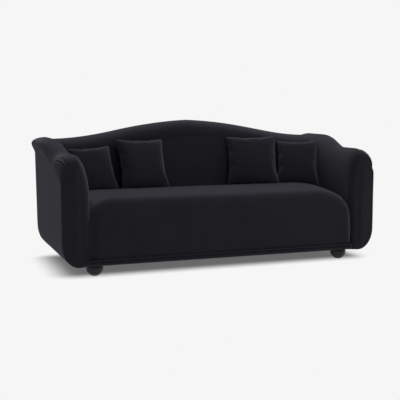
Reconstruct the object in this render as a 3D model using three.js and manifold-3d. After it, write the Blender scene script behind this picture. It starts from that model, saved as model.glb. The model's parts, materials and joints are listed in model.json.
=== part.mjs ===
// A camelback sofa with rolled wings, ruched arm fronts, a tight bench seat and four loose throw cushions.
// Millimetres. The origin is on the floor under the middle of the sofa, +X to the viewer's right, +Z up,
// and the front faces -Y.
import * as THREE from "three";
import { mergeVertices } from "three/addons/utils/BufferGeometryUtils.js";
import Module from "manifold-3d";

// Overall form
const armSpan = 2086;             // over the arms' outer faces
const depth = 984;                // front of the seat to the top of the raked outside back
const groundGap = 67;             // floor to the underside of the frame
const humpHeight = 918;           // top of the camel hump
const backEndHeight = 802;        // top of the back where it meets the wings
const humpFullness = 1.22;        // above 1, the hump stays high for longer
const humpTaperShare = 0.33;      // part of the hump that falls evenly to its ends
const backRake = 48;              // how far the outside back leans, bottom to top

// Arms and wings
const armWidth = 174;
const armHeight = 736;
const dipHeight = 733;            // the dip between the arm's top and the wing
const dipSoftShare = 0.08;        // how gently the wing starts to rise, as a share of its run
const wingHeight = 808;
const seatProud = 35;             // the seat's front stands this far before the arm fronts
const dipBehindFront = 332;       // arm front to the dip
const wingRun = 385;              // dip to the wing's peak
const ridgeInset = 82;            // inner face to the top of the arm
const wingLean = 32;              // how much further out the wing's top lies
const wingLip = 24;               // the wing's rolled edge past the arm's outer face
const innerShoulderDrop = 240;
const outerShoulderDrop = 90;
const wingRollDrop = 40;
const lipNeck = 70;               // height over which the lip runs back into the side
const sideCornerWide = 95;
const sideCornerHigh = 105;
const rearCornerRadius = 95;      // lower rear corner of the side
const armEdgeRound = 38;          // front edge along the arm's inner face
const sideEdgeRound = 8;          // front edge along its side panel
const shoulderRoundWide = 50;     // front edge over the top and the outer shoulder, towards the middle
const shoulderRoundDeep = 130;    // and towards the rear
const armEndRound = 16;           // rear edges of the arm
const neckShares = [0.25, 0.5, 0.75];                                  // from the lip back into the side
const sideFootShares = [0, 0.12, 0.4, 1];                              // heights up the rounded rear corner
const armStationShares = [0.2, 0.32, 0.42, 0.52, 0.65, 0.82];

// Ruched arm fronts: the front cover is gathered in folds round the outer shoulder, up to its seam
const sideSeam = 10;              // arm front to the seam with the side panel
const topSeam = 60;               // and over the arm's top
const seamReach = 165;            // how much further back it runs round the shoulder
const seamFullness = 1.4;         // above 1, its furthest place lies higher
const pleatCount = 8;
const pleatRadius = 8.3;
const pleatSink = 4.3;            // depth of a fold's middle under the front
const pleatShares = [0.1, 0.94];  // lowest and highest fold, up the shoulder
const pleatReachShares = [0.5, 1];   // inner ends of the folds, as they sink into the front
const pleatRun = 62;              // how far they run in over the front

// Back
const backRollDeep = 140;         // outside back to the hump's ridge
const backRollDrop = 165;
const wingRollDeep = 95;          // the same at the wings
const wingRearDrop = 110;
const insideRollDrop = 110;
const insideFaceTop = 262;        // outside back to the inside back, just under its roll
const insideFaceFoot = 374;       // outside back to the inside back, at the seat
const backStationShares = [0, 0.13, 0.26, 0.39, 0.52, 0.65, 0.78, 0.9, 1];

// Seat
const seatHeight = 492;           // top of the crown
const seatCrown = 30;             // fall of the crown to the back of the seat
const waterfallDeep = 92;
const waterfallHigh = 88;
const seatCornerWide = 225;
const seatCornerFrontDrop = 150;
const seatCornerRearDrop = 45;
const seatEndRound = 55;
const seatBelly = 7;
const weltHeight = 112;
const bandSetBack = 12;           // base band behind the seat's front
const bandRise = 8;               // base band's lower edge above the arms' underside
const bandRound = 14;
const weltThick = 9;
const tuckUnder = 22;             // how far covers turn in under the padding
const skirtTurn = 6;              // how far the padding's open foot runs up past its cover's edge
const frontCrownShare = 0.45;     // fall of the crown to the waterfall, as a share of its fall to the back
const seatTopShares = [0.125, 0.25, 0.375, 0.5, 0.625, 0.75, 0.875];
const seatFaceShares = [0.2, 0.5, 0.8];
const seatCornerTurns = [0, 25, 45, 60, 72, 82, 90];   // degrees round the seat's outer corners

// Feet
const footDiameter = 103;
const footInset = 37;             // arm's inner face to the foot's centre
const footBehindFront = 120;
const footBeforeRail = 30;        // rear foot's centre to the rear rail
const footFlat = 15;              // radius of the flat that stands on the floor
const boltDiameter = 10;
const boltLength = 70;
const boltSocket = 34;
const footHoleShare = 0.87;       // the feet's holes in the dust cover, to the feet themselves

// Timber
const railThick = 28;
const railHigh = 110;
const railAboveUnderside = 12;
const frameInset = 72;            // padding between the seat's front and the front rail
const sideRailInset = 24;         // arm's inner face to the side rail
const postWide = 45;
const topRailInset = 45;          // hump to the top edge of its sawn rail
const topRailHigh = 75;
const armBoardThick = 22;
const armBoardBehindFront = 66;
const armBoardMargin = 30;        // arm outline to the edge of its front board
const armRailSize = 38;
const armRailDrop = 45;           // dip to the arm's top rail
const tackRailHigh = 50;
const tackRailAboveDeck = 105;
const railBehindPanel = 4;        // outside back's foot to the rear rail
const blockSize = 95;
const blockHigh = 60;
const uprightWide = 40;
const uprightPlaceShare = 0.35;
const stretcherDrop = 8;          // top of the rails to the top of the stretcher under the springs
const postInset = 6;              // wing's inner face to the back post

// Springs and cloths
const springCount = 6;
const springWire = 4;
const springWidth = 50;
const springPitch = 64;
const springFromArm = 109;        // arm's inner face to the outermost spring
const clipLength = 24;
const springBendShares = [-0.3, 0.3];
const clothThick = 3;             // covers with their lining
const liningThick = 2;
const clearance = 0.3;
const hairline = 0.01;            // keeps the outside back's folded edges from falling together

// Throw cushions
const cushionSize = 350;
const cushionThick = 122;
const cushionDrawIn = 17;         // how far the sides pull in between the corners
const cushionEdge = 6;            // thickness of the sewn edge
const cushionGridCells = 10;
const cushionFullnessShare = 0.45;
const cushionPasses = 12;         // goes at seating a cushion on the seat and against the back

// Each cushion: where the middle of its lower edge lies along the seat, as a share of the way to an arm, how
// much of its full width and height is left where it is squeezed, then its turn, lean and roll in degrees.
// The seat and the back give its height and its depth.
const cushionPlaceShares = [
  { name: "throw_cushion_far_left", across: -0.816, wide: 0.86, tall: 0.9, turn: 9, lean: 28, roll: -4 },
  { name: "throw_cushion_left", across: -0.447, wide: 0.93, tall: 1, turn: 3, lean: 28, roll: 1 },
  { name: "throw_cushion_right", across: 0.435, wide: 1, tall: 1.02, turn: -17, lean: 28, roll: -1 },
  { name: "throw_cushion_far_right", across: 0.816, wide: 0.82, tall: 0.95, turn: -24, lean: 30, roll: 0 },
];

// Steps of the round stretches
const armRoundSteps = 6;
const armFrontSteps = 4;
const armRearSteps = 2;
const cornerSteps = 4;
const seatRoundSteps = 4;
const backRoundSteps = 8;
const footSteps = 8;
const footSides = 16;
const boltSides = 12;
const weltSides = 10;
const seamSteps = 8;
const pleatSteps = 3;
const pleatSides = 5;

// Places worked out from the sizes above
const outerX = armSpan / 2;
const innerX = outerX - armWidth;
const rearY = depth / 2;
const seatFrontY = -depth / 2;
const armFrontY = seatFrontY + seatProud;
const armRearY = rearY - clothThick - clearance;
const dipY = armFrontY + dipBehindFront;
const neckZ = armHeight - outerShoulderDrop - lipNeck;
const bandY = seatFrontY + bandSetBack;
const ridgeY = rearY - backRollDeep;
const rearTopZ = humpHeight - backRollDrop;
const insideTopZ = humpHeight - insideRollDrop;
const footX = innerX - footInset;
const footFrontY = seatFrontY + footBehindFront;
const underside = groundGap + bandRise;
const railZ = groundGap + railAboveUnderside;
const railTopZ = railZ + railHigh;
const frameFrontY = seatFrontY + frameInset;
const frontRailRearY = frameFrontY + railThick;
const sideRailX = innerX + sideRailInset;
const armBoardY = armFrontY + armBoardBehindFront;
const wireZ = railTopZ + clearance + springWire / 2;
const deckZ = railTopZ + springWire + clearance * 2;
const paddingZ = deckZ + liningThick + clearance;
const insideFootY = rearY - insideFaceFoot;
const insideTopY = rearY - insideFaceTop;
const kneeZ = seatHeight - seatCrown;
const seatHalf = innerX - clearance;
const seatSkirtZ = weltHeight + weltThick / 2 + clearance;
const bandTopZ = weltHeight - weltThick / 2 - clearance;
const overrun = outerX + depth;

// Finishes
const finishes = {
  velvet: { color: 0x1b1a20, roughness: 0.85, metalness: 0 },
  lining: { color: 0x16161a, roughness: 0.95, metalness: 0 },
  foam: { color: 0xd9cfa8, roughness: 0.95, metalness: 0 },
  hardwood: { color: 0xb08a5a, roughness: 0.7, metalness: 0 },
  lacquer: { color: 0x141318, roughness: 0.3, metalness: 0 },
  steel: { color: 0x8d9095, roughness: 0.4, metalness: 1 },
};

const wasm = await Module();
wasm.setup();
const sofa = new THREE.Group();

// Solids from closed geometry, and back again
function toSolid(geometry) {
  const bare = geometry.clone();
  bare.deleteAttribute("normal");
  bare.deleteAttribute("uv");
  const merged = mergeVertices(bare);
  const mesh = new wasm.Mesh({
    numProp: 3,
    vertProperties: new Float32Array(merged.attributes.position.array),
    triVerts: new Uint32Array(merged.index.array),
  });
  return new wasm.Manifold(mesh);
}

function toGeometry(solid) {
  const mesh = solid.getMesh();
  const geometry = new THREE.BufferGeometry();
  geometry.setAttribute("position", new THREE.BufferAttribute(mesh.vertProperties, 3));
  geometry.setIndex(new THREE.BufferAttribute(mesh.triVerts, 1));
  geometry.computeVertexNormals();
  return geometry;
}

function add(name, solid, finish) {
  const geometry = solid.isBufferGeometry ? solid : toGeometry(solid);
  const mesh = new THREE.Mesh(geometry, new THREE.MeshStandardMaterial(finishes[finish]));
  mesh.name = name;
  sofa.add(mesh);
}

// A box given by its lowest and highest corners
function block(low, high) {
  const size = high.map((value, axis) => value - low[axis]);
  const box = new THREE.BoxGeometry(...size);
  box.translate(...low.map((value, axis) => value + size[axis] / 2));
  return toSolid(box);
}

// A closed skin over rings of points, each ring as long as the last, with both ends capped
function loft(rings) {
  const count = rings[0].length;
  const triangles = [];
  for (let ring = 0; ring + 1 < rings.length; ring += 1) {
    for (let step = 0; step < count; step += 1) {
      const next = (step + 1) % count;
      const here = ring * count;
      const there = here + count;
      triangles.push(here + step, here + next, there + next);
      triangles.push(here + step, there + next, there + step);
    }
  }
  const last = (rings.length - 1) * count;
  for (const [a, b, c] of ladder(count)) {
    triangles.push(b, a, c, last + a, last + b, last + c);
  }
  return closedSolid(rings.flat(), triangles);
}

// Triangles that fill a ring like a ladder's rungs, from its first and last points to its middle ones
function ladder(count) {
  const triangles = [];
  for (let first = 0; first + 1 < count - 1 - first; first += 1) {
    const last = count - 1 - first;
    triangles.push([first, first + 1, last]);
    if (first + 1 < last - 1) {
      triangles.push([first + 1, last - 1, last]);
    }
  }
  return triangles;
}

function closedSolid(points, triangles) {
  let volume = 0;
  for (let corner = 0; corner < triangles.length; corner += 3) {
    const [a, b, c] = triangles.slice(corner, corner + 3).map((place) => points[place]);
    volume += a.dot(new THREE.Vector3().crossVectors(b, c));
  }
  const outward = volume > 0;
  const faces = outward ? triangles : triangles.slice().reverse();
  const geometry = new THREE.BufferGeometry();
  const numbers = points.flatMap((p) => [p.x, p.y, p.z]);
  geometry.setAttribute("position", new THREE.Float32BufferAttribute(numbers, 3));
  geometry.setIndex(faces);
  return toSolid(geometry);
}

const mix = (from, to, share) => from + (to - from) * share;
const blend = (from, to, share) => from.map((value, axis) => mix(value, to[axis], share));
const clamp = (value) => Math.min(1, Math.max(0, value));
const ease = (share) => share * share * (3 - 2 * share);
const roundShare = (share) => 1 - Math.sqrt(1 - share * share);
const at = (x, y, z) => new THREE.Vector3(x, y, z);

// Points of a quarter ellipse that leaves straight up from its start and arrives level, or the reverse
function quarter(from, to, steps, levelFirst) {
  const points = [];
  for (let step = 1; step <= steps; step += 1) {
    const turn = (step / steps) * Math.PI / 2;
    const level = levelFirst ? Math.sin(turn) : 1 - Math.cos(turn);
    const rise = levelFirst ? 1 - Math.cos(turn) : Math.sin(turn);
    points.push([mix(from[0], to[0], level), mix(from[1], to[1], rise)]);
  }
  return points;
}

// The outside back at a height: it leans back as it rises, tucks in at the foot and rolls over at its top
function rearAt(z, top, rollDeep, rollDrop) {
  const lean = backRake * (1 - clamp((z - groundGap) / (rearTopZ - groundGap)));
  const tuck = clamp((groundGap + rearCornerRadius - z) / rearCornerRadius);
  const roll = clamp((z - top + rollDrop) / rollDrop);
  return armRearY - lean - rearCornerRadius * roundShare(tuck) - rollDeep * roundShare(roll);
}

// Arms and wings. The outline of the right arm across the sofa, at a station along its depth
function wingShare(y) {
  const along = (y - dipY) / wingRun;
  return Math.sin(clamp((along + Math.hypot(along, dipSoftShare)) / 2) * Math.PI / 2);
}

function armOutline(y) {
  const wing = wingShare(y);
  const foreArm = mix(armHeight, dipHeight, clamp((y - armFrontY) / dipBehindFront));
  const top = mix(foreArm, wingHeight, wing);
  const ridge = [innerX + ridgeInset + wingLean * wing, top];
  const lip = [outerX + wingLip * wing, top - mix(outerShoulderDrop, wingRollDrop, wing)];
  const neck = [outerX, lip[1] - lipNeck];
  const corner = [outerX, groundGap + sideCornerHigh];
  const shoulder = [innerX, top - innerShoulderDrop];
  const points = [...sideFootHeights().map((z) => [innerX, z]), shoulder];
  points.push(...quarter(shoulder, ridge, armRoundSteps, false));
  points.push(...quarter(ridge, lip, armRoundSteps, true));
  points.push(...neckShares.map((share) => blend(lip, neck, share)), neck, corner);
  points.push(...quarter(corner, [outerX - sideCornerWide, groundGap], cornerSteps, false));
  return points;
}

// How far each point of that outline is rounded at the front edge: towards the middle, and towards the rear
function edgeRounds() {
  const soft = [armEdgeRound, armEdgeRound];
  const full = [shoulderRoundWide, shoulderRoundDeep];
  const crisp = [sideEdgeRound, sideEdgeRound];
  const rounds = [...sideFootShares, soft].map(() => soft);
  for (let step = 1; step <= armRoundSteps; step += 1) {
    rounds.push(blend(soft, full, step / armRoundSteps));
  }
  for (let step = 1; step <= armRoundSteps; step += 1) {
    rounds.push(full);
  }
  rounds.push(...neckShares.map((share) => blend(full, crisp, ease(share))), crisp, crisp);
  for (let step = 1; step <= cornerSteps; step += 1) {
    rounds.push(crisp);
  }
  return rounds;
}

function sideFootHeights() {
  return sideFootShares.map((share) => groundGap + rearCornerRadius * share);
}

// The outline drawn in evenly towards its middle
function drawnIn(outline, inset) {
  const spans = [0, 1].map((axis) => {
    const values = outline.map((point) => point[axis]);
    return { low: Math.min(...values), high: Math.max(...values) };
  });
  return outline.map((point) => point.map((value, axis) => {
    const { low, high } = spans[axis];
    const middle = (low + high) / 2;
    return middle + (value - middle) * (1 - inset * 2 / (high - low));
  }));
}

// Stations from front to rear. For a point's roundings, each says how far along it lies and how far drawn in
function frontStation(turn, inset) {
  return ([wide, deep]) => ({
    y: armFrontY + inset + deep * (1 - Math.cos(turn)),
    inset: inset + wide * (1 - Math.sin(turn)),
  });
}

function armStations(inset) {
  const stations = [];
  for (let step = 0; step <= armFrontSteps; step += 1) {
    stations.push(frontStation((step / armFrontSteps) * Math.PI / 2, inset));
  }
  for (const share of armStationShares) {
    const y = mix(armFrontY + shoulderRoundDeep, rearY - armEndRound, share);
    stations.push(() => ({ y, inset }));
  }
  for (let step = 0; step <= armRearSteps; step += 1) {
    const turn = (step / armRearSteps) * Math.PI / 2;
    const y = rearY - inset - armEndRound * (1 - Math.sin(turn));
    stations.push(() => ({ y, inset: inset + armEndRound * (1 - Math.cos(turn)) }));
  }
  return stations;
}

function armRing(station, side) {
  return edgeRounds().map((rounding, place) => {
    const { y, inset } = station(rounding);
    const outline = armOutline(y);
    const [x, z] = drawnIn(outline, inset)[place];
    const rear = rearAt(Math.min(z, outline[place][1]), wingHeight, wingRollDeep, wingRearDrop);
    return at(side * x, mix(armFrontY, rear, (y - armFrontY) / (rearY - armFrontY)), z);
  });
}

function armForm(inset, side) {
  return loft(armStations(inset).map((station) => armRing(station, side)));
}

// The seam between a ruched front and the side panel: how far behind the arm's front it lies at a height
function seamAt(z) {
  const up = clamp((z - neckZ) / (armHeight - neckZ));
  return mix(sideSeam, topSeam, up) + seamReach * Math.sin(Math.PI * up ** seamFullness);
}

// All that lies before the seam, moved back by a gap. It bends only on the outer half
function beforeSeam(side, gap) {
  const heights = [-overrun];
  for (let step = 0; step <= seamSteps; step += 1) {
    heights.push(mix(neckZ, armHeight, step / seamSteps));
  }
  heights.push(overrun);
  const ridge = innerX + ridgeInset;
  const outer = loft([ridge, overrun].map((x) => [
    ...heights.map((z) => at(side * x, -overrun, z)),
    ...heights.slice().reverse().map((z) => at(side * x, armFrontY + seamAt(z) + gap, z)),
  ]));
  return outer.add(beside(side, [0, ridge], [-overrun, armFrontY + topSeam + gap], [-overrun, overrun]));
}

// A place on the outer shoulder at a station, as far up as asked between the neck and the ridge, with the
// direction across it
function shoulderPlace(station, side, up) {
  const ridgePlace = sideFootShares.length + armRoundSteps;
  const neckPlace = ridgePlace + armRoundSteps + neckShares.length + 1;
  const ring = armRing(station, side).slice(ridgePlace, neckPlace + 1);
  const z = mix(ring[ring.length - 1].z, ring[0].z, up);
  const below = ring.findIndex((point) => point.z < z);
  const [upper, lower] = [ring[below - 1], ring[below]];
  const place = upper.clone().lerp(lower, (upper.z - z) / (upper.z - lower.z));
  return { place, across: upper.clone().sub(lower) };
}

// A fold: a roll that starts behind the seam, rounds the shoulder and sinks into the front at its inner end
function pleat(side, up) {
  const line = [() => ({ y: armFrontY + topSeam + seamReach, inset: 0 })];
  for (let step = pleatSteps; step >= 0; step -= 1) {
    line.push(frontStation((step / pleatSteps) * Math.PI / 2, 0));
  }
  const places = line.map((station) => shoulderPlace(station, side, up));
  const edge = places[places.length - 1];
  for (const share of pleatReachShares) {
    const place = edge.place.clone().add(at(-side * pleatRun * share, 0, 0));
    places.push({ place, across: edge.across, share });
  }
  return loft(places.map(({ place, across, share }, step) => {
    const before = places[Math.max(0, step - 1)].place;
    const after = places[Math.min(places.length - 1, step + 1)].place;
    const along = after.clone().sub(before).normalize();
    const upward = share ? at(0, 0, 1) : across;
    const out = new THREE.Vector3().crossVectors(along, upward).normalize();
    out.multiplyScalar(out.dot(at(side, -1, 1)) > 0 ? 1 : -1);
    const aside = new THREE.Vector3().crossVectors(out, along).normalize();
    const sink = mix(pleatSink, pleatRadius + clearance, share || 0);
    const middle = place.clone().addScaledVector(out, -sink);
    return Array.from({ length: pleatSides }, (_, corner) => {
      const turn = (corner / pleatSides) * Math.PI * 2;
      return middle.clone().addScaledVector(out, pleatRadius * Math.cos(turn))
        .addScaledVector(aside, pleatRadius * Math.sin(turn));
    });
  }));
}

// The seat: one bench with a waterfall front, a crown and rounded outer corners
function seatTopAt(x, y) {
  const edgeY = seatFrontY + waterfallDeep;
  const middleY = (edgeY + insideFootY) / 2;
  const away = (y - middleY) / (insideFootY - middleY);
  const along = clamp((y - edgeY) / (insideFootY - edgeY));
  const corner = roundShare(clamp((Math.abs(x) - seatHalf + seatCornerWide) / seatCornerWide));
  const crown = seatCrown * mix(frontCrownShare, 1, along) * away * away;
  return seatHeight - crown - corner * mix(seatCornerFrontDrop, seatCornerRearDrop, along);
}

function seatOutline(x) {
  const end = clamp((Math.abs(x) - seatHalf + seatEndRound) / seatEndRound);
  const frontY = seatFrontY + seatBelly + seatEndRound * roundShare(end);
  const edgeY = seatFrontY + waterfallDeep;
  const edge = [edgeY, seatTopAt(x, edgeY)];
  const brow = [frontY, edge[1] - waterfallHigh];
  const face = seatFaceShares.map((share) => {
    const belly = seatBelly * Math.sin(share * Math.PI);
    return [frontY - belly, mix(seatSkirtZ, brow[1], share)];
  });
  const points = [[insideFootY - clearance, seatSkirtZ], [frontY, seatSkirtZ], ...face, brow];
  points.push(...quarter(brow, edge, seatRoundSteps, false));
  for (const share of seatTopShares) {
    const y = mix(edgeY, insideFootY, share);
    points.push([y, seatTopAt(x, y)]);
  }
  points.push([insideFootY - clearance, seatTopAt(x, insideFootY)]);
  return points;
}

// Places across the seat, closer together towards its rounded ends
function seatStations(inset) {
  const right = [0, (seatHalf - seatCornerWide) / 2];
  for (const turn of seatCornerTurns) {
    right.push(seatHalf - seatCornerWide * (1 - Math.sin(turn * Math.PI / 180)));
  }
  const reach = (seatHalf - inset) / seatHalf;
  return [...right.slice(1).reverse().map((x) => -x), ...right].map((x) => ({ x, drawn: x * reach }));
}

function seatForm(inset) {
  return loft(seatStations(inset).map(({ x, drawn }) => {
    return drawnIn(seatOutline(x), inset).map(([y, z]) => at(drawn, y, z));
  }));
}

// The back: a camel hump whose top rolls over from the inside back to the outside back
function humpAt(x) {
  const out = Math.abs(x) / innerX;
  const wave = (1 + Math.cos(Math.PI * clamp(out) ** humpFullness)) / 2;
  return mix(backEndHeight, humpHeight, mix(wave, 1 - out, humpTaperShare));
}

function insideBackAt(z) {
  return mix(insideFootY, insideTopY, Math.max(0, (z - kneeZ) / (insideTopZ - kneeZ)));
}

function backOutline(x) {
  const top = humpAt(x);
  const ridge = [ridgeY, top];
  const inside = [insideBackAt(top - insideRollDrop), top - insideRollDrop];
  const rear = [rearAt(top - backRollDrop, top, backRollDeep, backRollDrop), top - backRollDrop];
  const foot = rearAt(paddingZ, top, backRollDeep, backRollDrop);
  const points = [[insideFootY, paddingZ], [insideFootY, kneeZ], inside];
  points.push(...quarter(inside, ridge, backRoundSteps, false));
  points.push(...quarter(ridge, rear, backRoundSteps, true));
  points.push([foot, paddingZ]);
  return points;
}

function mirrored(shares, half) {
  return [...shares.slice(1).reverse().map((share) => -share * half), ...shares.map((share) => share * half)];
}

// It runs on under the wings' tops, and ends against their inner faces
function backForm(inset) {
  const places = mirrored(backStationShares, innerX);
  const end = innerX + ridgeInset + wingLean;
  const solid = loft([-end, ...places, end].map((x) => {
    return drawnIn(backOutline(x), inset).map(([y, z]) => at(x, y, z));
  }));
  const room = -clearance - inset;
  return solid.subtract(armForm(room, -1)).subtract(armForm(room, 1));
}

// A box as wide as asked about the middle of the sofa
const across = (half, y, z) => block([-half, y[0], z[0]], [half, y[1], z[1]]);

// The same box on the left or the right side
function beside(side, x, y, z) {
  const ends = x.map((value) => value * side).sort((a, b) => a - b);
  return block([ends[0], y[0], z[0]], [ends[1], y[1], z[1]]);
}

// The same solid made larger all round by a clearance, for the hollow that takes it
function roomFor(low, high) {
  return block(low.map((value) => value - clearance), high.map((value) => value + clearance));
}

// An outline across the sofa, made solid from a place along its depth towards the rear
function extrudeAlongY(outline, y, thick) {
  const shape = new THREE.Shape(outline.map(([x, z]) => new THREE.Vector2(x, z)));
  const geometry = new THREE.ExtrudeGeometry(shape, { depth: thick, bevelEnabled: false });
  geometry.rotateX(Math.PI / 2);
  geometry.translate(0, y + thick, 0);
  return toSolid(geometry);
}

// Timber frame
const rearRailRearY = rearAt(railZ, humpHeight, backRollDeep, backRollDrop) - railBehindPanel;
const rearRailY = rearRailRearY - railThick;
const sideRailOutX = sideRailX + railThick;
const blockX = [footX - blockSize / 2, sideRailX - clearance];
const topRailFootZ = (x) => humpAt(x) - topRailInset - topRailHigh;
const armRailTopZ = dipHeight - armRailDrop;
const armRailX = innerX + ridgeInset - armRailSize / 2;
const seatFrameZ = [railZ, railTopZ];

function topRailOutline(grow) {
  const half = postX[0] - clearance + grow;
  const places = mirrored(backStationShares, half);
  const upper = places.map((x) => [x, humpAt(x) - topRailInset + grow]);
  const lower = places.map((x) => [x, topRailFootZ(x) - grow]).reverse();
  return [...upper, ...lower];
}

const postX = [innerX - postInset - postWide, innerX - postInset];
const postY = [rearRailRearY - postWide, rearRailRearY];
const postTopZ = humpAt(postX[0]) - topRailInset;
const uprightX = innerX * uprightPlaceShare;
const backRailY = [rearRailY, rearRailRearY];
const standZ = railTopZ + clearance;

// The pieces of one side of the frame, as lowest and highest corners on the right
function sideFrame() {
  const armRailEndZ = armRailTopZ - armRailSize;
  const boardRearY = armBoardY + armBoardThick;
  const runY = [boardRearY + clearance, rearRailY - clearance];
  const deckTackZ = deckZ + tackRailAboveDeck;
  return {
    side_rail: [[sideRailX, runY[0], railZ], [sideRailOutX, runY[1], railTopZ]],
    arm_post: [[sideRailX, rearRailY, standZ], [armRailX + armRailSize, rearRailRearY, armRailTopZ]],
    arm_top_rail: [[armRailX, runY[0], armRailEndZ], [armRailX + armRailSize, runY[1], armRailTopZ]],
    arm_tack_rail: [[sideRailX, runY[0], deckTackZ], [sideRailOutX, runY[1], deckTackZ + tackRailHigh]],
  };
}

function armBoard(side, grow) {
  const outline = drawnIn(armOutline(armFrontY), armBoardMargin - grow).map(([x, z]) => [side * x, z]);
  return extrudeAlongY(outline, armBoardY - grow, armBoardThick + grow * 2);
}

function sawnTopRail(grow) {
  return extrudeAlongY(topRailOutline(grow), rearRailY - grow, railThick + grow * 2);
}

// Everything in the back that stands up from the rear rail, each as lowest and highest corners
function backStuds() {
  const studs = {};
  for (const [side, name] of [[-1, "left"], [1, "right"]]) {
    const x = postX.map((value) => value * side).sort((a, b) => a - b);
    studs[`back_post_${name}`] = [[x[0], postY[0], standZ], [x[1], postY[1], postTopZ]];
    const middle = side * uprightX;
    const edges = [middle - uprightWide / 2, middle + uprightWide / 2];
    const topZ = Math.min(...edges.map(topRailFootZ)) - clearance;
    studs[`back_upright_${name}`] = [[edges[0], rearRailY, standZ], [edges[1], rearRailRearY, topZ]];
  }
  const half = uprightWide / 2;
  const topZ = topRailFootZ(half) - clearance;
  studs.back_upright_middle = [[-half, rearRailY, standZ], [half, rearRailRearY, topZ]];
  return studs;
}

// Turned ball feet on hanger bolts
const footRadius = footDiameter / 2;
const footCentreZ = Math.sqrt(footRadius ** 2 - footFlat ** 2);
const footTopZ = railZ - clearance;
const boltRadius = boltDiameter / 2;
const rearFootY = rearRailY - footBeforeRail;

function footForm() {
  const socket = boltRadius + clearance;
  const lowest = -Math.acos(footFlat / footRadius);
  const highest = Math.asin((footTopZ - footCentreZ) / footRadius);
  const profile = [new THREE.Vector2(0, 0)];
  for (let step = 0; step <= footSteps; step += 1) {
    const turn = mix(lowest, highest, step / footSteps);
    const round = new THREE.Vector2(Math.cos(turn), Math.sin(turn)).multiplyScalar(footRadius);
    profile.push(new THREE.Vector2(round.x, Math.max(0, footCentreZ + round.y)));
  }
  profile.push(new THREE.Vector2(socket, footTopZ), new THREE.Vector2(socket, footTopZ - boltSocket));
  profile.push(new THREE.Vector2(0, footTopZ - boltSocket));
  const geometry = new THREE.LatheGeometry(profile, footSides);
  geometry.rotateX(Math.PI / 2);
  return toSolid(geometry);
}

function rod(radius, low, high) {
  const geometry = new THREE.CylinderGeometry(radius, radius, high - low, boltSides);
  geometry.rotateX(Math.PI / 2);
  geometry.translate(0, 0, (low + high) / 2);
  return toSolid(geometry);
}

// A sinuous spring: one wire that runs from rail to rail in even bends, with a clip fused at each end
function springForm(x) {
  const ends = [frameFrontY + railThick / 2, rearRailY + railThick / 2];
  const bends = Math.round((ends[1] - ends[0]) / springPitch * 2) - 1;
  const step = (ends[1] - ends[0]) / (bends + 1);
  const line = [[x, ends[0]]];
  for (let bend = 1; bend <= bends; bend += 1) {
    const side = bend % 2 === 0 ? springWidth / 2 : -springWidth / 2;
    for (const share of springBendShares) {
      line.push([x + side, ends[0] + (bend + share) * step]);
    }
  }
  line.push([x, ends[1]]);
  const rings = line.map(([wireX, wireY], place) => {
    const before = line[Math.max(0, place - 1)];
    const after = line[Math.min(line.length - 1, place + 1)];
    const out = new THREE.Vector2(before[1] - after[1], after[0] - before[0]).setLength(springWire / 2);
    const up = springWire / 2;
    return [[out.x, out.y, 0], [0, 0, up], [-out.x, -out.y, 0], [0, 0, -up]].map(([dx, dy, dz]) => {
      return at(wireX + dx, wireY + dy, wireZ + dz);
    });
  });
  const clips = ends.map((y) => {
    const reach = clipLength / 2;
    const half = springWire / 2;
    return block([x - reach, y - reach / 2, wireZ - half], [x + reach, y + reach / 2, wireZ + half]);
  });
  return loft(rings).add(clips[0]).add(clips[1]);
}

// Throw cushions: crowned between knife edges, with sides that draw in between the corners
function cushionPoint(across, up, face) {
  const half = cushionSize / 2;
  const x = half * across * (1 - (cushionDrawIn / half) * (1 - up * up));
  const z = half * up * (1 - (cushionDrawIn / half) * (1 - across * across));
  const fill = ((1 - across * across) * (1 - up * up)) ** cushionFullnessShare;
  return at(x, face * mix(cushionEdge / 2, cushionThick / 2, fill), z + half);
}

function cushionForm() {
  const cells = cushionGridCells;
  const side = cells + 1;
  const points = [];
  for (const face of [-1, 1]) {
    for (let row = 0; row < side; row += 1) {
      for (let column = 0; column < side; column += 1) {
        points.push(cushionPoint(gridShare(column), gridShare(row), face));
      }
    }
  }
  const triangles = [];
  const quad = (a, b, c, d) => triangles.push(a, b, c, a, c, d);
  const rear = side * side;
  for (let row = 0; row < cells; row += 1) {
    for (let column = 0; column < cells; column += 1) {
      const corner = row * side + column;
      quad(corner, corner + 1, corner + side + 1, corner + side);
      quad(rear + corner, rear + corner + side, rear + corner + side + 1, rear + corner + 1);
    }
  }
  for (let step = 0; step < cells; step += 1) {
    const bottom = step;
    const top = cells * side + step;
    const left = step * side;
    const right = left + cells;
    quad(bottom + 1, bottom, rear + bottom, rear + bottom + 1);
    quad(top, top + 1, rear + top + 1, rear + top);
    quad(left, left + side, rear + left + side, rear + left);
    quad(right + side, right, rear + right, rear + right + side);
  }
  return { points, triangles };
}

// Grid lines lie closer together towards the edges, where the crown falls fastest
function gridShare(line) {
  return Math.sin((line / cushionGridCells - 0.5) * Math.PI);
}

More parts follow.
